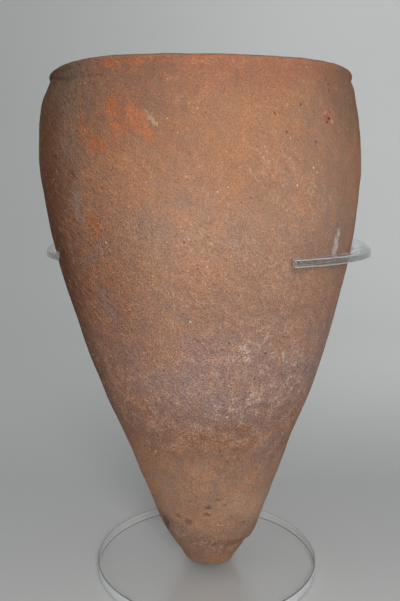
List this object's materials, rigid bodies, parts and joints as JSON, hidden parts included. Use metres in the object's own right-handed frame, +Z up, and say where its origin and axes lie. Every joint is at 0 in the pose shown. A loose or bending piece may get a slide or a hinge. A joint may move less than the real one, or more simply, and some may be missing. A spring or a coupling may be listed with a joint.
{
  "type": "pottery jar",
  "caption": "Hand-built storage jar of coarse clay with a small blunt base and a thin rolled lip, held upright by a clear plate collar on a round foot.",
  "frame": {"origin": "middle of the underside of the stand's round foot plate, below the jar's tip", "axes": "+Z up along the jar, -Y towards the front of the jar as pictured, +X to the viewer's right"},
  "size_m": [0.258, 0.2451, 0.3803],
  "materials": {
    "clay": "matte, unglazed, scraped and weathered",
    "acrylic": "clear, polished edges"
  },
  "bodies": {
    "root": {"jar": "clay", "stand_disc": "acrylic", "stand_collar": "acrylic", "stand_upright": "acrylic"}
  },
  "joints": []
}
